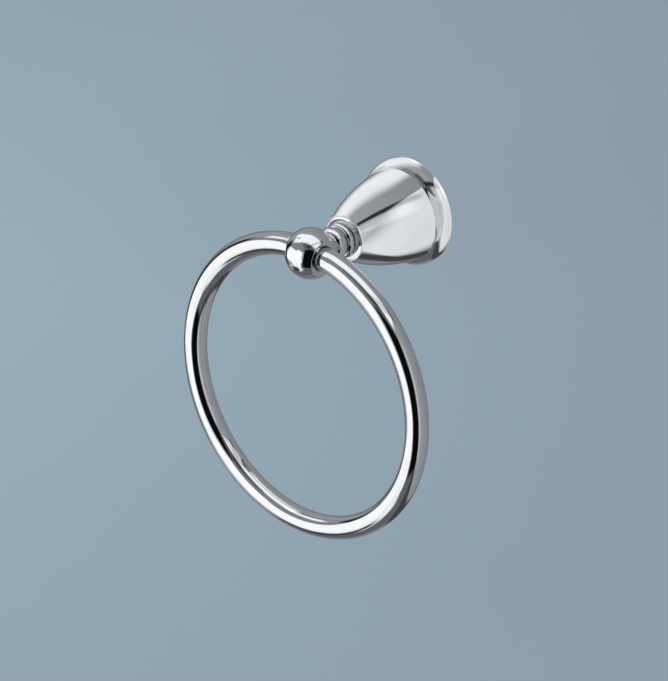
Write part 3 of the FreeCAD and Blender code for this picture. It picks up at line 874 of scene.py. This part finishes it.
def cross_recess(head, height):
    """Two tapered blades at right angles, as a cross-head driver leaves them."""
    wide, thin, depth = BLADE_LENGTH_SHARE * head, BLADE_WIDTH_SHARE * head, BLADE_DEPTH_SHARE * height
    for swap in (False, True):
        corners = []
        for z, reach in ((-height - PROUD, wide * PROUD_WIDENS), (-height, wide), (depth - height, thin)):
            for a in (-reach, reach):
                for b in (-thin, thin):
                    corners.append((b, a, z) if swap else (a, b, z))
        yield hull("blade", corners)


def hex_recess():
    key = [(0, -PROUD), (HEX_CORNER_RADIUS, -PROUD), (HEX_CORNER_RADIUS, HEX_DEPTH), (0, HEX_DEPTH)]
    return [lathe("key", key, UPRIGHT, sides=6)]


print("hex key across its corners", 2 * HEX_CORNER_RADIUS, "mm")

# %% Making a threaded screw and putting it in its place
SCREW_SIDES = 48


def placed(turn, shift):
    return Matrix.Translation(Vector(shift) * MM) @ turn.to_4x4()


def threaded(name, profile, material, size, cutters, place):
    """Screw made upright at the origin: body, thread, then the recess; its mesh is moved to its place."""
    body = lathe(name + "_body", profile, UPRIGHT, sides=SCREW_SIDES)
    values = {key.capitalize(): size[key] * MM for key in ("pitch", "depth", "radius", "first", "last")}
    values["Crest"] = size["crest"]
    piece = new_piece(name, run_tree(body, *thread_tree(material), values))
    for cutter in cutters:
        boolean(piece, cutter, "DIFFERENCE")
    dress(piece, material)
    piece.data.transform(place)
    return piece


print("screws have", SCREW_SIDES, "sides")

# %% Wall screws
TOWARDS_THE_BACK = Matrix(((1, 0, 0), (0, 0, 1), (0, -1, 0)))
BRACKET_THICKNESS = 1.6
WALL_SCREW_HEIGHT = 10.0
WALL_SCREW = dict(radius=2.1, length=19.0, point=4.0, neck=2.0, head=4.0, height=2.9, pitch=1.41, depth=0.62,
                  crest=0.16, first=2.6, last=18.6)

screws = []
for name, side in (("wall_screw_upper", 1), ("wall_screw_lower", -1)):
    recess = cross_recess(WALL_SCREW["head"], WALL_SCREW["height"])
    place = placed(TOWARDS_THE_BACK, (0, -BRACKET_THICKNESS, WALL_SCREW_HEIGHT * side))
    screw = threaded(
        name + "_threaded", pan_profile(WALL_SCREW), zinc_plated_steel, WALL_SCREW, recess, place)
    finish(screw, "post", name)
    screws.append(screw)

# %% Ball screw
BALL_SCREW_SEAT = 44.8
BALL_SCREW = dict(radius=3.0, length=14.0, point=0.8, neck=1.0, head=5.5, height=3.7, pitch=1.0, depth=0.61,
                  crest=0.14, first=1.6, last=14.0)

recess = cross_recess(BALL_SCREW["head"], BALL_SCREW["height"])
place = placed(ALONG_POST, (0, -BALL_SCREW_SEAT, 0))
ball_screw = threaded(
    "ball_screw_threaded", pan_profile(BALL_SCREW), zinc_plated_steel, BALL_SCREW, recess, place)
finish(ball_screw, "post", "ball_screw")

# %% Set screw
SET_SCREW_FOOT = -26.66
SET_SCREW = dict(radius=2.0, chamfer=0.3, straight_from=0.36, straight_to=5.25, tip_radius=1.25, length=6.0,
                 pitch=0.7, depth=0.43, crest=0.14, first=0.1, last=5.6)

radius, chamfer = SET_SCREW["radius"], SET_SCREW["chamfer"]
set_profile = [(0, 0), (radius - chamfer, 0), (radius, chamfer)] + shank(
    radius, SET_SCREW["straight_from"], SET_SCREW["straight_to"], SET_SCREW["tip_radius"],
    SET_SCREW["length"], SET_SCREW["pitch"])
place = placed(UPRIGHT, (0, -SET_SCREW_DISTANCE, SET_SCREW_FOOT))
set_screw = threaded("set_screw_threaded", set_profile, black_oxide_steel, SET_SCREW, hex_recess(), place)
finish(set_screw, "post", "set_screw")
screws += [ball_screw, set_screw]

# %% [markdown]
# ## Bracket and washer
# The bent steel bracket and the split spring washer have only flat and simply bent faces, which the CAD
# meshes already give well. They stay as they are and get their finishes in place of the plain ones.

# %% Finishes for the CAD pieces that stay
bracket_and_washer = []
for node, material in (("wall_bracket", zinc_plated_steel), ("lock_washer", oiled_spring_steel)):
    piece = bpy.data.objects[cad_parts[node].name]
    for slot in piece.material_slots:
        slot.material = material
    bracket_and_washer.append(piece)
    print(node, "wears", material.name)

# %% [markdown]
# ## Studio
# Chrome has hardly any colour of its own: what we see on it is the room. The bands on the real ring tell of
# a large softbox in front on the left, a narrow light strip, a dark flag where the camera stands, a bright
# ceiling panel and grey surroundings. They are drawn here as soft-edged panels on the far dome round the
# object, which is the world's light. Only mirror rays meet the panels. The camera itself sees a plain pale
# colour in place of the dome, and everything that isn't a mirror gets an even light.

# %% One panel on the dome
scene = bpy.context.scene
scene.view_settings.view_transform = "Standard"


def panel(tree, view, light, azimuth, elevation, half_width, half_height, roll, soft_x, soft_y, level):
    """Lay a panel of one light level over the light so far; half sizes are metres at one metre away."""
    turn = Matrix(axes_facing(azimuth, elevation, roll)).to_euler()
    turned = add_node(tree, "ShaderNodeMapping", {"Vector": view, "Rotation": turn}).outputs[0]
    x, y, ahead = add_node(tree, "ShaderNodeSeparateXYZ", {0: turned}).outputs
    mask = add_node(tree, "ShaderNodeMath", {0: ahead, 1: 0.0}, operation="GREATER_THAN").outputs[0]
    for side, half, soft in ((x, half_width, soft_x), (y, half_height, soft_y)):
        slope = add_node(tree, "ShaderNodeMath", {0: side, 1: ahead}, operation="DIVIDE").outputs[0]
        size = add_node(tree, "ShaderNodeMath", {0: slope}, operation="ABSOLUTE").outputs[0]
        inside = add_node(tree, "ShaderNodeMapRange", {
            "Value": size, "From Min": half + soft, "From Max": half - soft}, interpolation_type="SMOOTHSTEP")
        both = add_node(tree, "ShaderNodeMath", {0: mask, 1: inside.outputs[0]}, operation="MULTIPLY")
        mask = both.outputs[0]
    return add_node(tree, "ShaderNodeMix", {"Factor": mask, "A": light, "B": level}).outputs[0]


print("view transform", scene.view_settings.view_transform)

# %% Where the panels stand
# Columns: name, azimuth, elevation, half width, half height, roll, soft border across, soft border up and
# level. Angles are in degrees, and sizes in metres at one metre away. A later panel lies over an earlier one.
PANELS = [
    ("dim side behind", -139, -27, 0.60, 0.60, 0, 0.35, 0.35, 0.20),
    ("dim low side", 2.9, -64.5, 0.654, 1.05, -21.7, 0.036, 0.302, 0.176),
    ("low shade on the right", 130, -71.6, 1.05, 0.135, 5.9, 0.056, 0.05, 0.075),
    ("grey window", -13.7, 32.5, 0.404, 0.216, 15, 0.029, 0.029, 0.22),
    ("shade round the softbox", -37.6, 20.8, 0.729, 0.619, 44.1, 0.079, 0.079, 0.333),
    ("top of the flag", 26.8, 50.2, 0.542, 0.228, -35.9, 0.080, 0.081, 0.145),
    ("dark ceiling line", 83.3, 63.7, 0.723, 0.10, -6.8, 0.105, 0.06, 0.035),
    ("light strip", 69.8, -0.9, 0.093, 0.762, -11.6, 0.062, 0.091, 0.82),
    ("front softbox", -42.1, -12.9, 0.920, 0.495, 12.3, 0.080, 0.083, 1.56),
    ("front softbox, right half", -15.0, -9.6, 0.273, 0.642, -7.1, 0.066, 0.063, 1.61),
    ("front softbox, foot", -24.1, -45.7, 0.200, 0.286, 21.8, 0.083, 0.102, 1.40),
    ("low left", -75.5, -33.3, 0.379, 0.096, -13.2, 0.088, 0.043, 0.477),
    ("dark line under the softbox", -46.9, -53.2, 0.258, 0.124, -2.9, 0.059, 0.058, 0.073),
    ("black flag", 34.3, -2.3, 0.472, 0.907, -1.6, 0.058, 0.090, 0.0045),
    ("edge of the softbox", -88.6, -5.6, 0.161, 0.416, -34.9, 0.108, 0.080, 0.009),
    ("edge of the softbox, lower", -91.0, -24.0, 0.140, 0.300, 0, 0.035, 0.080, 0.01),
]
print("brightest panel", max(row[-1] for row in PANELS), "and darkest", min(row[-1] for row in PANELS))

# %% The dome
STUDIO_TINT = "#FEFEFF"
SOFTBOX_TINT = "#FFFAF7"
SOFTBOX_TINT_FROM = 0.6
SOFTBOX_TINT_FULL = 1.2
# Between the panels the logarithm of the light is this level, and grows slowly along this vector.
GROWS_TOWARDS = (-0.011, -0.327, 0.031)
LOG_LEVEL = -0.745
SEEN_BACKGROUND = "#94A7B4"
EVEN_LEVEL = 0.66


def add_dome():
    """World light: panels for mirror rays, a plain colour for the camera and an even level for the rest."""
    world = bpy.data.worlds.new("studio")
    scene.world = world
    world.use_nodes = True
    tree = world.node_tree
    tree.nodes.clear()
    view = add_node(tree, "ShaderNodeTexCoord").outputs["Generated"]
    growth = add_node(tree, "ShaderNodeVectorMath", {0: view, 1: GROWS_TOWARDS}, operation="DOT_PRODUCT")
    power = add_node(tree, "ShaderNodeMath", {0: growth.outputs["Value"], 1: LOG_LEVEL}, operation="ADD")
    light = add_node(tree, "ShaderNodeMath", {0: power.outputs[0]}, operation="EXPONENT").outputs[0]
    for name, *numbers in PANELS:
        light = panel(tree, view, light, *numbers)
    warmth = add_node(tree, "ShaderNodeMapRange", {
        "Value": light, "From Min": SOFTBOX_TINT_FROM, "From Max": SOFTBOX_TINT_FULL}).outputs[0]
    tint = add_node(tree, "ShaderNodeMix", {
        MIX_FACTOR: warmth, COLOUR_A: linear(STUDIO_TINT), COLOUR_B: linear(SOFTBOX_TINT)}, data_type="RGBA")
    dome = add_node(tree, "ShaderNodeBackground", {"Color": tint.outputs[MIXED_COLOUR], "Strength": light})
    even = add_node(tree, "ShaderNodeBackground", {"Color": linear(STUDIO_TINT), "Strength": EVEN_LEVEL})
    plain = add_node(tree, "ShaderNodeBackground", {"Color": linear(SEEN_BACKGROUND), "Strength": 1.0})
    ray = add_node(tree, "ShaderNodeLightPath")
    lit = add_node(tree, "ShaderNodeMixShader", {
        0: ray.outputs["Is Glossy Ray"], 1: even.outputs[0], 2: dome.outputs[0]})
    both = add_node(tree, "ShaderNodeMixShader", {
        0: ray.outputs["Is Camera Ray"], 1: lit.outputs[0], 2: plain.outputs[0]})
    add_node(tree, "ShaderNodeOutputWorld", {"Surface": both.outputs[0]})
    print("dome with", len(PANELS), "panels and", len(tree.nodes), "nodes")


add_dome()

# %% [markdown]
# ## Lamps linked to pieces
# The dome is endlessly far away, but a real softbox is near, so pieces at different depths look into
# different parts of the room. The ring and the ball hang well in front of the post. A few soft lamps are
# therefore linked to the pieces that see them. Their brightness fades to nothing at their borders.

# %% A soft lamp
LAMP_DISTANCE = 3.0
LAMPS_FACE = Vector((0, -60, -60)) * MM


def soft_lamp(name, pieces, azimuth, elevation, half_width, half_height, roll, soft_x, soft_y, level):
    """Area lamp of one level with soft borders, seen only by the pieces that it is linked to."""
    right, up, outward = axes_facing(azimuth, elevation, roll)
    half = (half_width + soft_x, half_height + soft_y)
    data = bpy.data.lights.new(name, "AREA")
    data.shape = "RECTANGLE"
    data.size, data.size_y = (2 * h * LAMP_DISTANCE for h in half)
    data.energy = level * data.size * data.size_y * math.pi
    data.color = linear(SOFTBOX_TINT)[:3]
    data.use_nodes = True
    tree = data.node_tree
    tree.nodes.clear()
    spot = add_node(tree, "ShaderNodeNewGeometry").outputs["Parametric"]
    across, along, _ = add_node(tree, "ShaderNodeSeparateXYZ", {0: spot}).outputs
    strength = 1.0
    for side, whole, soft in ((across, half[0], soft_x), (along, half[1], soft_y)):
        signed = add_node(tree, "ShaderNodeMath", {0: side, 1: 2.0, 2: -1.0}, operation="MULTIPLY_ADD")
        size = add_node(tree, "ShaderNodeMath", {0: signed.outputs[0]}, operation="ABSOLUTE").outputs[0]
        full_at = 1 - 2 * soft / whole
        inside = add_node(tree, "ShaderNodeMapRange", {
            "Value": size, "From Min": 1.0, "From Max": full_at}, interpolation_type="SMOOTHSTEP")
        faded = add_node(tree, "ShaderNodeMath", {0: inside.outputs[0], 1: strength}, operation="MULTIPLY")
        strength = faded.outputs[0]
    emission = add_node(tree, "ShaderNodeEmission", {"Strength": strength})
    add_node(tree, "ShaderNodeOutputLight", {"Surface": emission.outputs[0]})
    lamp = bpy.data.objects.new(name, data)
    scene.collection.objects.link(lamp)
    turn = Matrix((right, up, outward)).transposed().to_4x4()
    lamp.matrix_world = Matrix.Translation(LAMPS_FACE + outward * LAMP_DISTANCE) @ turn
    lamp.visible_camera = False
    receivers = bpy.data.collections.new(name + "_receivers")
    for piece in pieces:
        receivers.objects.link(piece)
    lamp.light_linking.receiver_collection = receivers
    print(name, "lights", [piece.name for piece in pieces])


print("lamps stand", LAMP_DISTANCE, "m away")

# %% Where the lamps stand
in_front = [ring, ball_end]
seen_from_behind = [post_shell, *bracket_and_washer, *screws]
# Columns: name and pieces, then the same as for the panels, also with sizes in metres at one metre away.
LAMPS = [
    ("ceiling_lamp", in_front, 10.3, 85.6, 0.852, 0.409, 0.7, 0.089, 0.110, 0.95),
    ("high_left_lamp", in_front, -66.0, 38.2, 0.130, 0.277, -36.7, 0.070, 0.072, 1.0),
    ("high_edge_lamp", [ball_end], -92.0, 40.5, 0.130, 0.190, 0.0, 0.060, 0.060, 1.0),
    ("left_lamp", [post_shell], -105.0, 27.7, 0.820, 0.600, -23.7, 0.230, 0.450, 0.90),
    ("right_lamp", [post_shell], 128.0, -2.5, 1.000, 1.630, -21.3, 0.500, 0.070, 0.74),
    ("fill_lamp", [post_shell], 41.0, -4.0, 0.384, 0.880, -1.6, 0.100, 0.070, 0.85),
    ("upper_fill_lamp", [post_shell], 88.0, 43.0, 0.450, 0.220, 0.0, 0.250, 0.140, 0.30),
    ("back_lamp", seen_from_behind, 180.0, 12.0, 0.700, 0.500, 0.0, 0.200, 0.200, 0.90),
]
for row in LAMPS:
    soft_lamp(*row)

# %% [markdown]
# ## Floor and sky lamp
# A plain pale floor lies well below the ring. The even part of the world's light and one wide lamp on the
# left bring everything that isn't a mirror to a plain level, at which a colour renders about as written,
# and the floor grows a little darker towards the right. Mirrors see neither the lamp nor the floor.

# %% Sky lamp
SKY_LEVEL = 1.08
SKY_DIAMETER = 3.0
SKY_PLACE = (-2.4, 0.8, 0.6)

sky_data = bpy.data.lights.new("sky_lamp", "AREA")
sky_data.shape = "DISK"
sky_data.size = SKY_DIAMETER
sky_data.energy = SKY_LEVEL * math.pi ** 2 * (SKY_DIAMETER / 2) ** 2
sky_lamp = bpy.data.objects.new("sky_lamp", sky_data)
sky_lamp.location = SKY_PLACE
sky_lamp.visible_camera = False
sky_lamp.visible_glossy = False
scene.collection.objects.link(sky_lamp)
print("sky lamp gives", round(sky_data.energy, 1), "W")

# %% [markdown]
# ## The floor's paint
# The floor is painted matt, in two blue-greys so close that they only take the flatness off it. The paint
# clouds over nearly a metre, and it has no gloss, because nothing should mirror in it.

# %% Floor
FLOOR_HALF = 4
FLOOR_HEIGHT = -1.2
FLOOR_CLOUD_MM = 900.0
FLOOR_ROUGHNESS = 0.9


def matt_floor_paint():
    material, tree = new_material("matt_floor_paint")
    place = add_node(tree, "ShaderNodeTexCoord").outputs["Object"]
    cloud = speckle(tree, place, FLOOR_CLOUD_MM)
    patches = add_node(tree, "ShaderNodeMapRange", {"Value": cloud, **WHOLE_NOISE}).outputs[0]
    colour = add_node(tree, "ShaderNodeMix", {
        MIX_FACTOR: patches, COLOUR_A: linear("#98ABB8"), COLOUR_B: linear("#93A6B3")}, data_type="RGBA")
    shader = add_node(tree, "ShaderNodeBsdfPrincipled", {
        "Base Color": colour.outputs[MIXED_COLOUR], "Roughness": FLOOR_ROUGHNESS,
        "Specular IOR Level": 0.0})
    add_node(tree, "ShaderNodeOutputMaterial", {"Surface": shader.outputs[0]})
    return material


floor_corners = [(-FLOOR_HALF, -FLOOR_HALF, FLOOR_HEIGHT), (FLOOR_HALF, -FLOOR_HALF, FLOOR_HEIGHT),
                 (FLOOR_HALF, FLOOR_HALF, FLOOR_HEIGHT), (-FLOOR_HALF, FLOOR_HALF, FLOOR_HEIGHT)]
floor_mesh = bpy.data.meshes.new("floor")
floor_mesh.from_pydata(floor_corners, [], [(0, 1, 2, 3)])
floor_mesh.materials.append(matt_floor_paint())
floor = new_piece("floor", floor_mesh)
floor.visible_glossy = False
print("floor lies", -FLOOR_HEIGHT, "m below the flange's middle")
